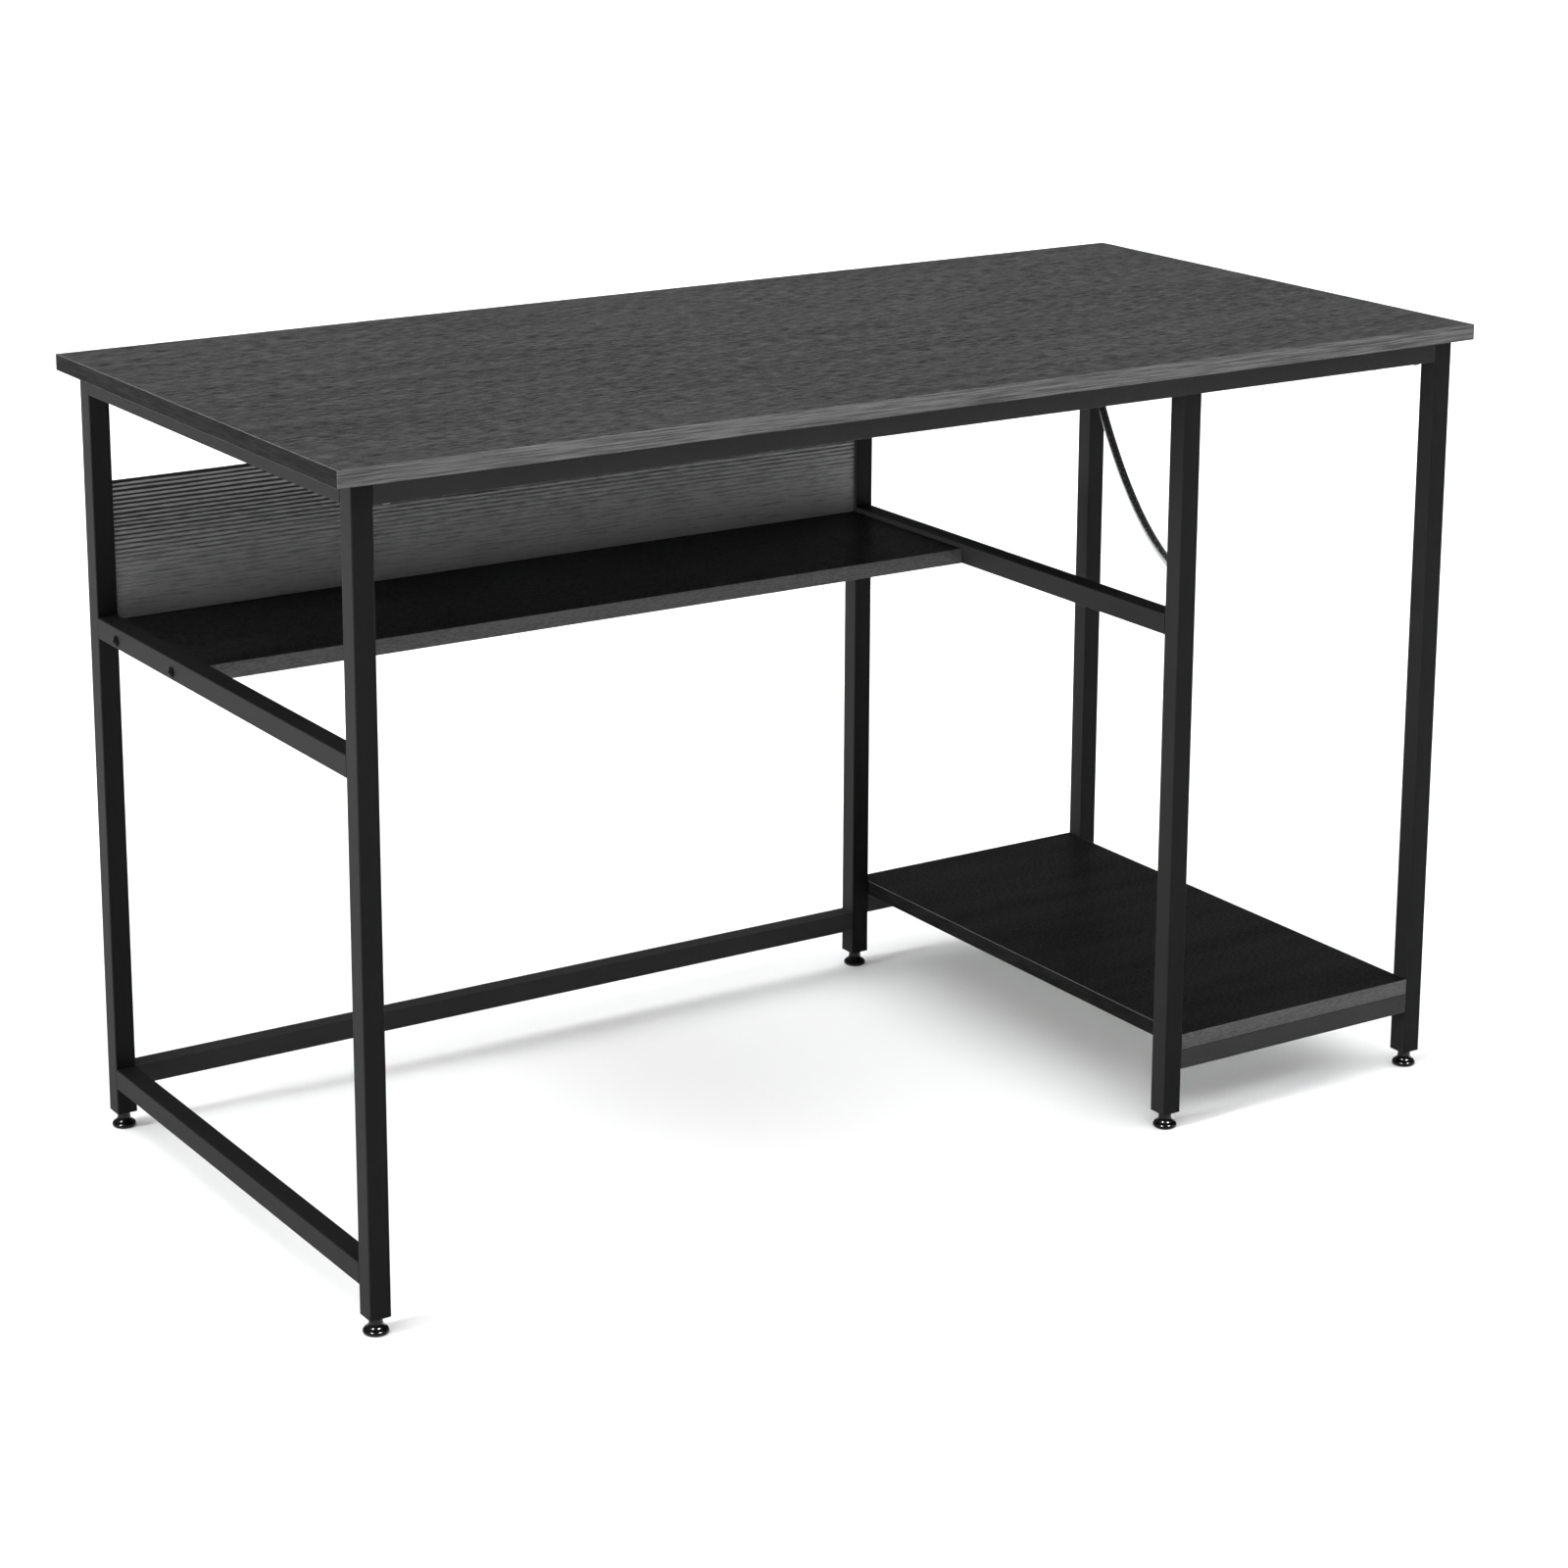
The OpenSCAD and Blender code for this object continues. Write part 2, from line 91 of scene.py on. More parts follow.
def colour(name, description, default):
    return bpy.props.FloatVectorProperty(
        name=name, description=description, default=linear(default), size=4, min=0.0, max=1.0, subtype="COLOR"
    )


class DeskSizes(bpy.types.PropertyGroup):
    """Small sizes of the visible pieces"""

    arris: length("Band arris", "Rounding scraped along the edge banding's corners",
                  0.45 * MM, 0.1 * MM, 0.55 * MM)
    glue_line: length("Glue line", "Groove where a board's face meets its edge band",
                      0.15 * MM, 0.05 * MM, 0.4 * MM)
    rod: length("Tie rod", "Diameter of the bowed tie rod", 9 * MM, 6 * MM, 9 * MM)
    rod_bend: length("Tie rod bend", "Radius of the tie rod's bow", 1.8, 0.9, 3.0)
    foot_rim: length("Foot rim", "Radius of the rounded rim of a foot", 2.45 * MM, 1.5 * MM, 3 * MM)
    foot_flare: length("Foot flare", "Radius of the hollow curve up to a foot's neck", 6 * MM, 4 * MM, 7 * MM)
    foot_neck: length("Foot neck", "Diameter of a foot's neck", 12.2 * MM, 11 * MM, 13 * MM)
    thread_pitch: length("Thread pitch", "Pitch of the thread on a levelling stud", 1.25 * MM, 1 * MM, 2 * MM)


class DeskColours(bpy.types.PropertyGroup):
    """Colours of the finishes"""

    desktop: colour("Desktop", "Black ash foil on the desktop", "#313131")
    desktop_band: colour("Desktop band", "Edge band along the front and back of the desktop", "#505050")
    end_band: colour("End band", "Edge band on the short ends of the boards", "#060606")
    shelf: colour("Shelves", "Black foil on both shelves", "#060606")
    shelf_band: colour("Shelf band", "Edge band of both shelves", "#484848")
    panel: colour("Back panel", "Deep-grained foil on the back panel", "#6a6a6a")
    panel_rear: colour("Back panel, rear", "Deep-grained foil on the rear of the back panel", "#404040")
    steel: colour("Frame", "Powder coat on the legs and rails", "#131313")
    # The two rail colours are the frame's powder coat made paler: painted light, standing in for the light
    # the rails' faces catch
    long_rail_painted_light: colour("Long rails", "Powder coat on the rails that run the desk's length", "#292929")
    tower_rail_painted_light: colour("Tower rails", "Powder coat on the two rails under the tower shelf", "#333333")
    rod: colour("Tie rod", "Enamel on the tie rod", "#060606")
    foot: colour("Feet", "Moulded feet", "#070707")
    screw: colour("Screws", "Blackened screws", "#181818")
    zinc: colour("Studs and nuts", "Zinc plate on the hidden steel", "#6c6d6f")
    floor: colour("Floor", "Studio floor", "#f4f4f4")


# ---- finishes ----


def add(tree, kind, settings=None, links=None):
    """Adds one node, with its inputs or properties from settings and its links from links."""
    node = tree.nodes.new(kind)
    for key, value in (settings or {}).items():
        if key in node.inputs:
            node.inputs[key].default_value = value
        else:
            setattr(node, key, value)
    for key, socket in (links or {}).items():
        tree.links.new(socket, node.inputs[key])
    return node


def finish_named(name):
    """A material with an empty tree and its output."""
    material = bpy.data.materials.new(name)
    material.use_nodes = True
    material.node_tree.nodes.clear()
    return material, add(material.node_tree, "ShaderNodeOutputMaterial")


def shade(rgba, factor):
    return tuple(min(1.0, c * factor) for c in rgba[:3]) + (1.0,)


def object_place(tree):
    """The object's own coordinates, in metres."""
    return add(tree, "ShaderNodeTexCoord").outputs["Object"]


def stretched(tree, place, scale):
    """Coordinates scaled along X, Y and Z, which gives a texture its direction."""
    return add(tree, "ShaderNodeMapping", {"Scale": scale}, {"Vector": place}).outputs["Vector"]


def noise(tree, place, scale, detail, roughness=0.5):
    """Noise of about one blot for each 1 / scale of the coordinates."""
    settings = {"Scale": scale, "Detail": detail, "Roughness": roughness}
    return add(tree, "ShaderNodeTexNoise", settings, {"Vector": place}).outputs["Fac"]


def blend(tree, first, second, share):
    """Two values mixed, with the second one's share of the result."""
    settings = {"data_type": "FLOAT", "Factor": share}
    return add(tree, "ShaderNodeMix", settings, {2: first, 3: second}).outputs[0]


def remap(tree, value, from_low, from_high, to_low, to_high):
    """A value carried over from one range to another."""
    settings = {"From Min": from_low, "From Max": from_high, "To Min": to_low, "To Max": to_high}
    return add(tree, "ShaderNodeMapRange", settings, {"Value": value}).outputs["Result"]


def ramp(tree, value, *stops):
    """A colour for each value, between two stops that are each a position and a colour."""
    node = add(tree, "ShaderNodeValToRGB", links={"Fac": value})
    for i, (position, rgba) in enumerate(stops):
        node.color_ramp.elements[i].position = position
        node.color_ramp.elements[i].color = rgba
    return node.outputs["Color"]


def bumps(tree, height, strength, relief):
    """A bumped surface from a height; relief is its depth in millimetres."""
    settings = {"Strength": strength, "Distance": relief * MM}
    return add(tree, "ShaderNodeBump", settings, {"Height": height}).outputs["Normal"]


def cover(tree, out, settings, links):
    """Puts a principled skin on a material's output."""
    skin = add(tree, "ShaderNodeBsdfPrincipled", settings, links)
    tree.links.new(skin.outputs["BSDF"], out.inputs["Surface"])


def ash_foil(name, rgba, low, high, run, across, rough, gloss, relief):
    """Foil printed and pressed with fine straight grain: run and across are the sizes along X, Y and Z of
    a pore and of a broad streak in millimetres, low and high the tones of dark and pale grain."""
    material, out = finish_named(name)
    tree = material.node_tree
    place = object_place(tree)
    fine, wide = (stretched(tree, place, [PER_METRE / size for size in grain]) for grain in (run, across))
    pores = noise(tree, fine, 1.0, 4.0, 0.7)
    figure = noise(tree, wide, 1.0, 2.0)
    tone = ramp(tree, blend(tree, pores, figure, 0.15), (0.4, shade(rgba, low)), (0.6, shade(rgba, high)))
    dull = remap(tree, pores, 0.3, 0.7, rough + 0.08, rough - 0.06)
    cover(tree, out, {"IOR": PLASTIC_IOR, "Specular IOR Level": gloss},
          {"Base Color": tone, "Roughness": dull, "Normal": bumps(tree, pores, 0.5, relief)})
    return material


def deep_grain_foil(name, rgba, low, high):
    """Foil pressed with deep, slightly wavy grain between two corners: broad lines some 4 mm apart in the
    upper part, fine ones 1 to 2 mm apart below, all broken up by small pores, with painted light that makes
    the lower part lighter."""
    material, out = finish_named(name)
    tree = material.node_tree
    place = object_place(tree)
    tall = high.z - low.z
    rise = add(tree, "ShaderNodeSeparateXYZ", links={"Vector": place}).outputs["Z"]
    broad = add(tree, "ShaderNodeTexWave", {"wave_type": "BANDS", "bands_direction": "Z",
                                            "Scale": WAVE_PERIOD / DEEP_GRAIN_PITCH, "Distortion": 2.2,
                                            "Detail": 2.0, "Detail Scale": 1.3},
                {"Vector": stretched(tree, place, (0.06, 0.06, 1.0))}).outputs["Fac"]
    fine = noise(tree, stretched(tree, place, (36.0, 36.0, 700.0)), 1.0, 3.0, 0.6)
    crisp = remap(tree, fine, 0.3, 0.7, 0.3, 0.7)
    upper = remap(tree, rise, low.z + 0.25 * tall, high.z, 0.1, 0.9)
    lines = add(tree, "ShaderNodeMix", {"data_type": "FLOAT"}, {0: upper, 2: crisp, 3: broad}).outputs[0]
    pores = noise(tree, stretched(tree, place, (70.0, 70.0, 420.0)), 1.0, 2.0)
    broken = remap(tree, pores, 0.3, 0.7, 0.8, 1.15)
    # Painted light: the lower part is made lighter, where light from the front reaches under the desktop's
    # shade
    painted_light_below = remap(tree, rise, low.z, low.z + 0.7 * tall, 0.38, 0.0)
    height = add(tree, "ShaderNodeMath", {"operation": "MULTIPLY_ADD"},
                 {0: lines, 1: broken, 2: painted_light_below}).outputs["Value"]
    tone = ramp(tree, height, (0.28, shade(rgba, 0.04)), (0.8, shade(rgba, 1.9)))
    cover(tree, out, {"IOR": PLASTIC_IOR, "Specular IOR Level": 0.15, "Roughness": 0.5},
          {"Base Color": tone, "Normal": bumps(tree, height, 0.6, 0.4)})
    return material


def powder_coat(name, rgba, grit, rough, gloss, relief):
    """Baked polyester powder: a matt skin with a fine even texture; grit is its grain in millimetres."""
    material, out = finish_named(name)
    tree = material.node_tree
    place = object_place(tree)
    grains = noise(tree, place, PER_METRE / grit, 2.0)
    cloud = noise(tree, place, 9.0, 2.0)
    tone = ramp(tree, blend(tree, grains, cloud, 0.4), (0.3, shade(rgba, 0.82)), (0.7, shade(rgba, 1.18)))
    dull = remap(tree, grains, 0.3, 0.7, rough - 0.05, rough + 0.05)
    cover(tree, out, {"IOR": PLASTIC_IOR, "Specular IOR Level": gloss},
          {"Base Color": tone, "Roughness": dull, "Normal": bumps(tree, grains, 0.35, relief)})
    return material


def glossy_black(name, rgba, ripple, rough, gloss):
    """A smooth glossy skin: a slow ripple, its length in millimetres, bends the highlights a little."""
    material, out = finish_named(name)
    tree = material.node_tree
    place = object_place(tree)
    swell = noise(tree, place, PER_METRE / ripple, 1.0)
    scuff = noise(tree, place, 600.0, 3.0)
    tone = ramp(tree, swell, (0.0, shade(rgba, 0.8)), (1.0, shade(rgba, 1.25)))
    dull = remap(tree, scuff, 0.35, 0.75, rough, rough + 0.1)
    cover(tree, out, {"IOR": PLASTIC_IOR, "Specular IOR Level": gloss},
          {"Base Color": tone, "Roughness": dull, "Normal": bumps(tree, swell, 0.15, 0.1)})
    return material


def plated_steel(name, rgba, rough):
    """Plated or blackened steel, with faint blotches in the plating."""
    material, out = finish_named(name)
    tree = material.node_tree
    blotch = noise(tree, object_place(tree), 350.0, 3.0)
    tone = ramp(tree, blotch, (0.0, shade(rgba, 0.7)), (1.0, shade(rgba, 1.15)))
    dull = remap(tree, blotch, 0.3, 0.7, rough - 0.06, rough + 0.08)
    cover(tree, out, {"Metallic": 1.0}, {"Base Color": tone, "Roughness": dull})
    return material


# ---- making pieces ----


def new_piece(name, shape, materials, body, slot, *replaced, smooth=None):
    """Turns a finished bmesh into a piece that rides on a body and stands for CAD nodes."""
    mesh = bpy.data.meshes.new(name)
    shape.to_mesh(mesh)
    shape.free()
    if not mesh.polygons:
        raise RuntimeError(f"{name} has no faces")
    for material in materials:
        mesh.materials.append(material)
    if smooth is not None:
        mesh.shade_smooth()
        mesh.set_sharp_from_angle(angle=smooth)
    piece = bpy.data.objects.new(name, mesh)
    bpy.context.scene.collection.objects.link(piece)
    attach(piece, body)
    if replaced:
        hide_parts(*replaced)
    return piece


def block(shape, low, high):
    """Adds a block between two corners to a shape and returns its vertices."""
    matrix = Matrix.LocRotScale((low + high) / 2, None, high - low)
    return bmesh.ops.create_cube(shape, size=1.0, matrix=matrix)["verts"]


def ease_edges(shape, edges, width, segments):
    """Takes the sharpness off edges: one segment is a flat, more make a round."""
    bmesh.ops.bevel(shape, geom=edges, offset=width, offset_type="OFFSET", affect="EDGES", segments=segments,
                    profile=0.5, material=-1)


def slab(low, high, ease):
    """A board between two corners, with its arrises eased."""
    shape = bmesh.new()
    block(shape, low, high)
    ease_edges(shape, shape.edges[:], ease, 1)
    return shape


def arris_on(thick):
    """How far a band's arris is rounded: as set, or most of the band where the band is thin."""
    return min(bpy.context.scene.desk_sizes.arris, 0.9 * thick)


def band_ring(low, high, thick):
    """Edge banding round a board: a thin ring with eased outer arrises, open above and below."""
    shape = bmesh.new()
    block(shape, low, high)
    shape.faces.ensure_lookup_table()
    outer = shape.edges[:]
    caps = [f for f in shape.faces if abs(f.normal.z) > FACING]
    bmesh.ops.inset_region(shape, faces=caps, thickness=thick, use_even_offset=True)
    loops = list({e for f in caps for e in f.edges})
    bmesh.ops.delete(shape, geom=caps, context="FACES_ONLY")
    bmesh.ops.bridge_loops(shape, edges=loops)
    ease_edges(shape, outer, arris_on(thick), BAND_SEGMENTS)
    bmesh.ops.recalc_face_normals(shape, faces=shape.faces[:])
    return shape


def band_strip(shape, low, high, face, thick):
    """One strip of edge banding, with arrises eased on the two long edges of its outward face."""
    verts = block(shape, low, high)
    axis = 1 if face.y else 2
    sign = face[axis]
    outer = [e for e in {e for v in verts for e in v.link_edges}
             if all((v.co[axis] - (low + high)[axis] / 2) * sign > 0 for v in e.verts)
             and abs(e.verts[0].co.x - e.verts[1].co.x) > 0.5 * (high.x - low.x)]
    ease_edges(shape, outer, arris_on(thick), BAND_SEGMENTS)


def board(name, node, material, slot, rear=None):
    """A foiled board in place of its CAD node, with its own foil on the rear face if one is given."""
    low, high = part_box(node)
    shape = slab(low, high, bpy.context.scene.desk_sizes.glue_line)
    if rear:
        shape.normal_update()
        for face in shape.faces:
            face.material_index = int(face.normal.y > FACING)
    new_piece(name, shape, [material, rear] if rear else [material], "desk", slot, node)
    return low, high


def ring_band(name, board_low, node, along, end, slot):
    """Banding round all four edges of a board, with its own material on the short ends."""
    low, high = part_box(node)
    ring = band_ring(low, high, board_low.x - low.x)
    ring.normal_update()
    for face in ring.faces:
        face.material_index = int(abs(face.normal.x) > FACING)
    new_piece(name, ring, [along, end], "desk", slot, node)


class DESK_OT_desktop(bpy.types.Operator):
    """Lay the desktop board and its edge banding"""

    bl_idname = "desk.desktop"
    bl_label = "Desktop"

    def execute(self, context):
        tint = context.scene.desk_colours
        # Black ash melamine, foil pressed with fine pores: the eye sees short soft dashes along the board
        top = ash_foil("black_ash_melamine", tint.desktop, low=0.2, high=2.0, run=(18.0, 3.0, 2.0),
                       across=(260.0, 16.0, 20.0), rough=0.42, gloss=0.12, relief=0.25)
        # ABS banding printed with straight grain: lighter fine lines along the front
        front = ash_foil("grained_edge_band", tint.desktop_band, low=0.45, high=1.6, run=(60.0, 1.3, 1.3),
                         across=(400.0, 4.0, 4.0), rough=0.5, gloss=0.2, relief=0.2)
        # The same banding on the short ends, darker and with the grain across
        end = ash_foil("dark_end_band", tint.end_band, low=0.4, high=1.7, run=(1.8, 30.0, 1.8),
                       across=(6.0, 400.0, 6.0), rough=0.5, gloss=0.05, relief=0.2)
        low, _ = board("desktop", "desktop_board", top, "desktop_laminate")
        ring_band("desktop_band", low, "desktop_edging", front, end, "desktop_band")
        return {"FINISHED"}


class DESK_OT_shelves(bpy.types.Operator):
    """Lay the storage shelf and the tower shelf with their edge banding"""

    bl_idname = "desk.shelves"
    bl_label = "Shelves"

    def execute(self, context):
        tint = context.scene.desk_colours
        # Black melamine with a fine pore: dark grey flecks on nearly black foil, with little gloss
        face = ash_foil("black_shelf_melamine", tint.shelf, low=0.0, high=8.0, run=(3.6, 2.4, 2.0),
                        across=(200.0, 30.0, 30.0), rough=0.34, gloss=0.03, relief=0.12)
        # ABS banding printed with short faint flecks
        band = ash_foil("shelf_edge_band", tint.shelf_band, low=0.75, high=1.25, run=(5.0, 1.2, 1.2),
                        across=(300.0, 6.0, 6.0), rough=0.5, gloss=0.15, relief=0.15)
        end = bpy.data.materials["dark_end_band"]
        low, _ = board("tower_shelf", "tower_shelf_board", face, "shelf_laminate")
        ring_band("tower_shelf_band", low, "tower_shelf_edging", band, end, "shelf_band")
        low, high = board("storage_shelf", "storage_shelf_board", face, "shelf_laminate")
        band_low, band_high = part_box("storage_shelf_edging")
        thick = low.y - band_low.y
        strips = bmesh.new()
        band_strip(strips, band_low, Vector((band_high.x, low.y, band_high.z)), Vector((0, -1, 0)), thick)
        band_strip(strips, Vector((band_low.x, high.y, band_low.z)), band_high, Vector((0, 1, 0)), thick)
        new_piece("storage_shelf_band", strips, [band], "desk", "shelf_band", "storage_shelf_edging")
        return {"FINISHED"}


class DESK_OT_back_panel(bpy.types.Operator):
    """Stand the back panel behind the storage shelf"""

    bl_idname = "desk.back_panel"
    bl_label = "Back panel"

    def execute(self, context):
        tint = context.scene.desk_colours
        # Deep-pressed ash foil: bright ridges and black troughs run along the panel
        face = deep_grain_foil("deep_grain_melamine", tint.panel, *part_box("back_panel"))
        # The same pressed foil in a darker print on the rear face
        rear = deep_grain_foil("dark_deep_grain_melamine", tint.panel_rear, *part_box("back_panel"))
        board("back_panel_board", "back_panel", face, "panel_laminate", rear)
        low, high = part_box("back_panel_edging")
        strip = bmesh.new()
        band_strip(strip, low, high, Vector((0, 0, 1)), high.z - low.z)
        new_piece("back_panel_band", strip, [face], "desk", "panel_laminate", "back_panel_edging")
        return {"FINISHED"}


class DESK_OT_steel_frame(bpy.types.Operator):
    """Coat the legs, rails and small fixings"""

    bl_idname = "desk.steel_frame"
    bl_label = "Steel frame"

    def execute(self, context):
        tint = context.scene.desk_colours
        powder = {"grit": 1.2, "rough": 0.5, "gloss": 0.05, "relief": 0.05}
        # Polyester powder coat, fine texture: an even matt black, its grain drawn coarser so that it shows
        coat = powder_coat("black_powder_coat", tint.steel, **powder)
        # The same powder coat on the long rails, painted one step greyer than on the legs: painted light for
        # the light their faces catch
        rail_coat_painted_light = powder_coat("powder_coat_painted_light_long_rails", tint.long_rail_painted_light, **powder)
        # The same again on the two rails under the tower shelf, painted greyer still: painted light as on the
        # long rails
        tower_rail_coat_painted_light = powder_coat("powder_coat_painted_light_tower_rails", tint.tower_rail_painted_light, **powder)
        # Blackened steel screws: dark with a dull metal glint
        screw = plated_steel("blackened_steel", tint.screw, rough=0.5)
        # Dull zinc plate on nuts and bolts inside the frame and on the studs of the feet
        zinc = plated_steel("dull_zinc_plate", tint.zinc, rough=0.45)
        # Moulded polyethylene plugs: soft dull black
        plug = powder_coat("moulded_polyethylene", tint.screw, grit=0.8, rough=0.6, gloss=0.35, relief=0.03)
        coats = {
            coat: [f"{leg}_leg" for leg in LEGS] + list(SIDE_RAILS) + ["rail_stubs", "panel_tabs"],
            rail_coat_painted_light: LONG_RAILS,
            tower_rail_coat_painted_light: TOWER_RAILS,
            screw: ["storage_shelf_screws"],
            zinc: ["rail_screws", "middle_leg_bolts", "leg_nuts", "panel_screws", "tower_shelf_screws",
                   "desktop_screws"],
            plug: ["leg_plugs", "middle_leg_plugs"],
        }
        for material, nodes in coats.items():
            for node in nodes:
                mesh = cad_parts[node].data
                mesh.materials.clear()
                mesh.materials.append(material)
        return {"FINISHED"}


class DESK_OT_tie_rod(bpy.types.Operator):
    """Bend the tie rod across the tower bay"""

    bl_idname = "desk.tie_rod"
    bl_label = "Tie rod"

    def execute(self, context):
        tint, sizes = context.scene.desk_colours, context.scene.desk_sizes
        right_low, right_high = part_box("rear_right_leg")
        middle_low, middle_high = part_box("front_middle_leg")
        tube = right_high.x - right_low.x
        # Where the rod's middle line enters each leg: the share of the tube's width, and the height
        rear_share, rear_height = 0.65, 0.585
        front_share, front_height = 0.6, 0.546
        rear = Vector((right_low.x + rear_share * tube, right_low.y, rear_height))
        front = Vector((middle_low.x + front_share * tube, middle_high.y, front_height))
        # The rod is an arc round a centre above the straight line between those two points
        chord = front - rear
        side = chord.cross(Vector((0, 0, 1))).normalized()
        rise = math.sqrt(sizes.rod_bend ** 2 - chord.length_squared / 4)
        up = side.cross(chord).normalized()
        up = up if up.z > 0 else -up
        centre = (rear + front) / 2 + up * rise
        start = rear - centre
        turn = start.angle(front - centre)
        axis = start.cross(front - centre).normalized()
        # The turn by which each end reaches into its leg
        spare = ROD_REACH / sizes.rod_bend
        first = Matrix.Rotation(-spare, 3, axis) @ start
        heading = axis.cross(first).normalized()
        shape = bmesh.new()
        pose = Matrix.Translation(centre + first) @ heading.to_track_quat("Z", "Y").to_matrix().to_4x4()
        ring = bmesh.ops.create_circle(shape, cap_ends=False, segments=ROD_SIDES, radius=sizes.rod / 2,
                                       matrix=pose)["verts"]
        rim = ring + list({e for v in ring for e in v.link_edges})
        bmesh.ops.spin(shape, geom=rim, cent=centre, axis=axis, angle=turn + 2 * spare, steps=ROD_STEPS,
                       use_merge=False, use_duplicate=False)
        bmesh.ops.holes_fill(shape, edges=[e for e in shape.edges if e.is_boundary], sides=0)
        bmesh.ops.recalc_face_normals(shape, faces=shape.faces[:])
        # Stove enamel over drawn bar: smooth black with a soft bright line along the bow
        enamel = glossy_black("black_gloss_enamel", tint.rod, ripple=30.0, rough=0.2, gloss=0.4)
        new_piece("bowed_tie_rod", shape, [enamel], "desk", "gloss_enamel", "tie_rod",
                  smooth=math.radians(40))
        return {"FINISHED"}


def foot_bell(middle, sizes, rim_radius, top):
    """A levelling foot turned from its half section: flat sole, round rim, hollow flare and neck."""
    rim, flare, neck = sizes.foot_rim, sizes.foot_flare, sizes.foot_neck / 2
    flare_top = 2 * rim + flare
    outline = [(0.0, 0.0), (rim_radius - rim, 0.0)]
    for i in range(1, RIM_STEPS + 1):
        angle = math.radians(180 * i / RIM_STEPS - 90)
        outline.append((rim_radius - rim + rim * math.cos(angle), rim + rim * math.sin(angle)))
    reach = neck + flare
    lip = min(reach, rim_radius - RIM_BARE)
    begin = math.acos((reach - lip) / flare)
    for i in range(FLARE_STEPS + 1):
        angle = begin * (1 - i / FLARE_STEPS)
        outline.append((reach - flare * math.cos(angle), flare_top - flare * math.sin(angle)))
    outline += [(neck, top), (0.0, top)]
    shape = bmesh.new()
    verts = [shape.verts.new((middle.x + r, middle.y, z)) for r, z in outline]
    edges = [shape.edges.new(pair) for pair in zip(verts, verts[1:])]
    bmesh.ops.spin(shape, geom=verts + edges, cent=(middle.x, middle.y, 0), axis=(0, 0, 1), angle=math.tau,
                   steps=BELL_SIDES, use_merge=True, use_duplicate=False)
    bmesh.ops.remove_doubles(shape, verts=shape.verts[:], dist=WELD)
    bmesh.ops.dissolve_degenerate(shape, edges=shape.edges[:], dist=WELD)
    bmesh.ops.recalc_face_normals(shape, faces=shape.faces[:])
    return shape


def threaded_stud(middle, radius, bottom, top, pitch):
    """A stud with a rolled thread: the thread's outline climbs one pitch for each turn."""
    shape = bmesh.new()
    depth = 0.6 * pitch
    crest = (0.44 * pitch, 0.56 * pitch)
    turns = int((top - bottom) / pitch) - 1
    outline = [(radius - depth, 0.0), (radius, crest[0]), (radius, crest[1]), (radius - depth, pitch)]
    verts = [shape.verts.new((middle.x + r, middle.y, bottom + z)) for r, z in outline]
    edges = [shape.edges.new(pair) for pair in zip(verts, verts[1:])]
    steps = STUD_SIDES * turns
    bmesh.ops.spin(shape, geom=verts + edges, cent=(middle.x, middle.y, 0), axis=(0, 0, 1),
                   dvec=(0, 0, turns * pitch / steps), angle=math.tau * turns, steps=steps,
                   use_merge=False, use_duplicate=False)
    bmesh.ops.remove_doubles(shape, verts=shape.verts[:], dist=WELD)
    core = bmesh.ops.create_cone(shape, cap_ends=True, cap_tris=False, segments=STUD_SIDES,
                                 radius1=radius - depth, radius2=radius - depth, depth=top - bottom,
                                 matrix=Matrix.Translation((middle.x, middle.y, (bottom + top) / 2)))
    ends = [e for e in shape.edges if all(v in core["verts"] for v in e.verts)
            and abs(e.verts[0].co.z - e.verts[1].co.z) < LEVEL]
    ease_edges(shape, ends, STUD_CHAMFER, 1)
    return shape


class DESK_OT_feet(bpy.types.Operator):
    """Turn the six levelling feet and their threaded studs"""

    bl_idname = "desk.feet"
    bl_label = "Levelling feet"

    def execute(self, context):
        tint, sizes = context.scene.desk_colours, context.scene.desk_sizes
        # Polished moulded ABS: gloss black with small highlights on the rim and flare
        gloss = glossy_black("polished_abs", tint.foot, ripple=12.0, rough=0.14, gloss=0.3)
        # The zinc plate of the frame's nuts and bolts, here on a rolled thread
        zinc = bpy.data.materials["dull_zinc_plate"]
        for leg in LEGS:
            low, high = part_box(f"{leg}_foot_base")
            middle = (low + high) / 2
            bell = foot_bell(middle, sizes, (high.x - low.x) / 2, high.z)
            new_piece(f"{leg}_bell", bell, [gloss], f"{leg}_foot", "foot_plastic", f"{leg}_foot_base",
                      smooth=math.radians(50))
            low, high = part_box(f"{leg}_foot_stud")
            stud = threaded_stud(middle, (high.x - low.x) / 2, low.z, high.z, sizes.thread_pitch)
            new_piece(f"{leg}_stud", stud, [zinc], f"{leg}_foot", "zinc_steel", f"{leg}_foot_stud",
                      smooth=math.radians(40))
        return {"FINISHED"}


# ---- stage ----


def soft_sun(name, toward, strength, spread, diffuse=True, glossy=True):
    """A far-off source in the direction toward, spread degrees wide; diffuse and glossy say whether it
    lights surfaces and whether it shows as a highlight in them."""
    data = bpy.data.lights.new(name, "SUN")
    data.energy = strength
    data.angle = math.radians(spread)
    lamp = bpy.data.objects.new(name, data)
    lamp.matrix_world = Vector(toward).to_track_quat("Z", "Y").to_matrix().to_4x4()
    lamp.visible_diffuse = diffuse
    lamp.visible_glossy = glossy
    bpy.context.scene.collection.objects.link(lamp)


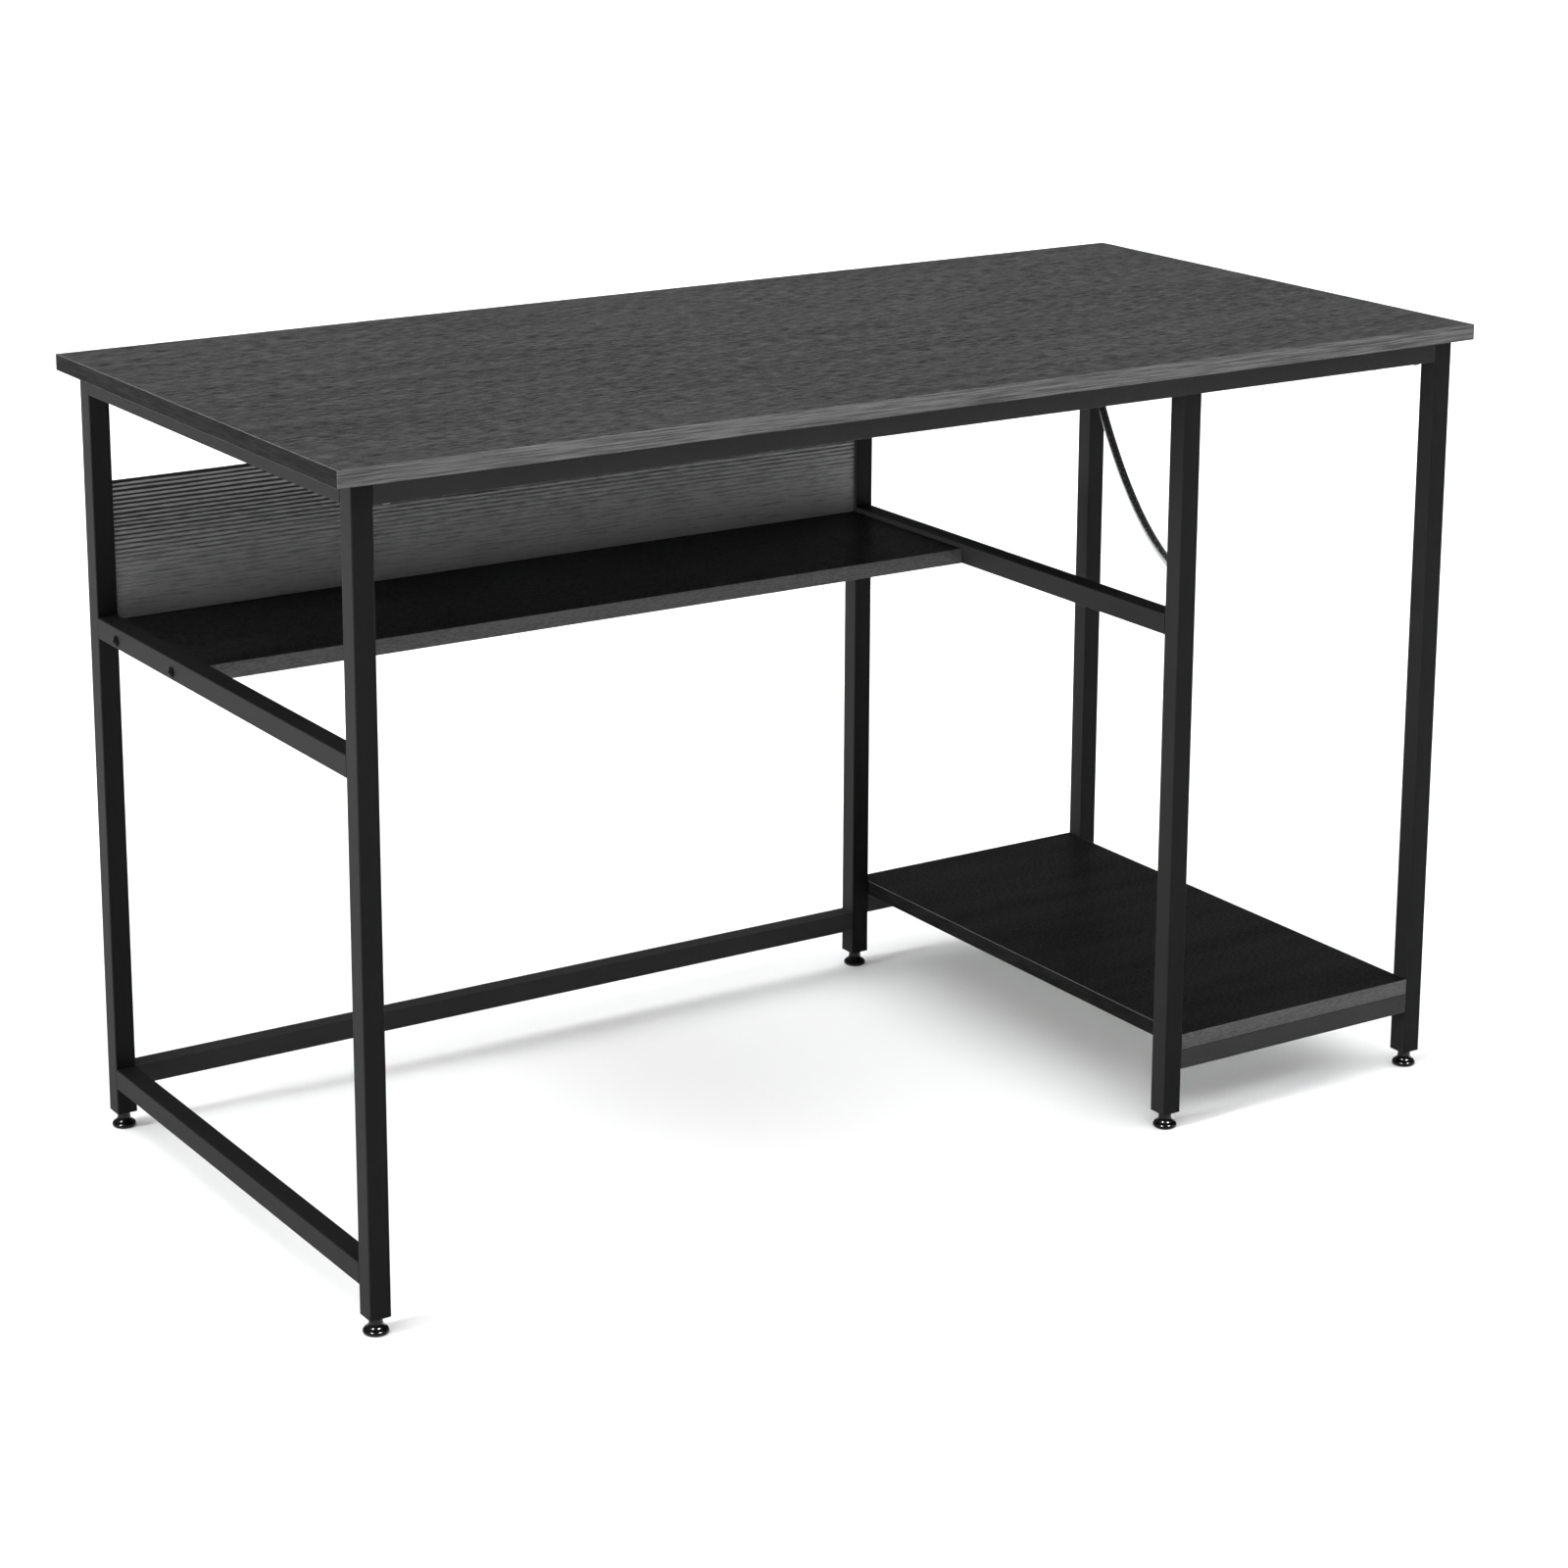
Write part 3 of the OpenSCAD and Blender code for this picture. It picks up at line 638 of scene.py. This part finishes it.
class DESK_OT_stage(bpy.types.Operator):
    """Lay the floor, hang the lights and place the camera"""

    bl_idname = "desk.stage"
    bl_label = "Stage"

    def execute(self, context):
        scene = context.scene
        shape = bmesh.new()
        bmesh.ops.create_grid(shape, x_segments=2, y_segments=2, size=30.0)
        mesh = bpy.data.meshes.new("studio_floor")
        shape.to_mesh(mesh)
        shape.free()
        floor = bpy.data.objects.new("studio_floor", mesh)
        scene.collection.objects.link(floor)
        # Matt white sweep paper: plain, without any texture that shows
        paper, out = finish_named("white_sweep_paper")
        tree = paper.node_tree
        white = tuple(scene.desk_colours.floor)
        skin = add(tree, "ShaderNodeBsdfDiffuse", {"Color": white, "Roughness": 1.0})
        tree.links.new(skin.outputs["BSDF"], out.inputs["Surface"])
        mesh.materials.append(paper)

        world = bpy.data.worlds.new("soft_studio")
        world.use_nodes = True
        # A white backdrop to look at, dim as a light so that the black finishes stay black
        tree = world.node_tree
        seen = add(tree, "ShaderNodeLightPath")
        power = remap(tree, seen.outputs["Is Camera Ray"], 0.0, 1.0, 0.12, 1.0)
        backdrop = tree.nodes["Background"]
        backdrop.inputs["Color"].default_value = (1.0, 1.0, 1.0, 1.0)
        tree.links.new(power, backdrop.inputs["Strength"])
        scene.world = world

        # A wide soft source overhead, slightly from the back right, and a low one from the left
        soft_sun("overhead", (0.05, 0.1, 1.0), strength=5.6, spread=106, glossy=False)
        soft_sun("left_bank", (-1.0, 0.0, 0.025), strength=17.5, spread=12, glossy=False)
        # Two small lamps that only make highlights
        soft_sun("left_lamp", (-0.5, -0.1, 0.85), strength=8.0, spread=12, diffuse=False)
        soft_sun("right_lamp", (0.25, -0.45, 0.85), strength=8.0, spread=12, diffuse=False)

        lens = bpy.data.cameras.new("photo_angle")
        lens.sensor_width = 36.0
        lens.lens = 86.06
        lens.shift_x = 0.04
        lens.shift_y = -0.15
        lens.clip_end = 200.0
        camera = bpy.data.objects.new("photo_angle", lens)
        camera.location = (-1.8676, -2.8815, 1.3935)
        camera.rotation_euler = (math.radians(90 - 13.824), 0.0, math.radians(-32.04))
        scene.collection.objects.link(camera)
        scene.camera = camera
        scene.view_settings.view_transform = "Standard"
        return {"FINISHED"}


class DESK_PT_pieces(bpy.types.Panel):
    """Lists the desk's pieces, sizes and colours"""

    bl_idname = "DESK_PT_pieces"
    bl_label = "Desk"
    bl_space_type = "VIEW_3D"
    bl_region_type = "UI"
    bl_category = "Desk"

    def draw(self, context):
        for operator in OPERATORS:
            self.layout.operator(operator.bl_idname)
        for group in (context.scene.desk_sizes, context.scene.desk_colours):
            box = self.layout.box()
            for name in group.bl_rna.properties.keys():
                if name not in ("rna_type", "name"):
                    box.prop(group, name)


OPERATORS = (DESK_OT_stage, DESK_OT_desktop, DESK_OT_shelves, DESK_OT_back_panel, DESK_OT_steel_frame,
             DESK_OT_tie_rod, DESK_OT_feet)
CLASSES = (DeskSizes, DeskColours) + OPERATORS + (DESK_PT_pieces,)


def register():
    for cls in CLASSES:
        bpy.utils.register_class(cls)
    bpy.types.Scene.desk_sizes = bpy.props.PointerProperty(type=DeskSizes)
    bpy.types.Scene.desk_colours = bpy.props.PointerProperty(type=DeskColours)


def unregister():
    del bpy.types.Scene.desk_colours
    del bpy.types.Scene.desk_sizes
    for cls in reversed(CLASSES):
        bpy.utils.unregister_class(cls)


def main():
    register()
    bpy.ops.desk.stage()
    bpy.ops.desk.desktop()
    bpy.ops.desk.shelves()
    bpy.ops.desk.back_panel()
    bpy.ops.desk.steel_frame()
    bpy.ops.desk.tie_rod()
    bpy.ops.desk.feet()


if __name__ == "__main__":
    main()
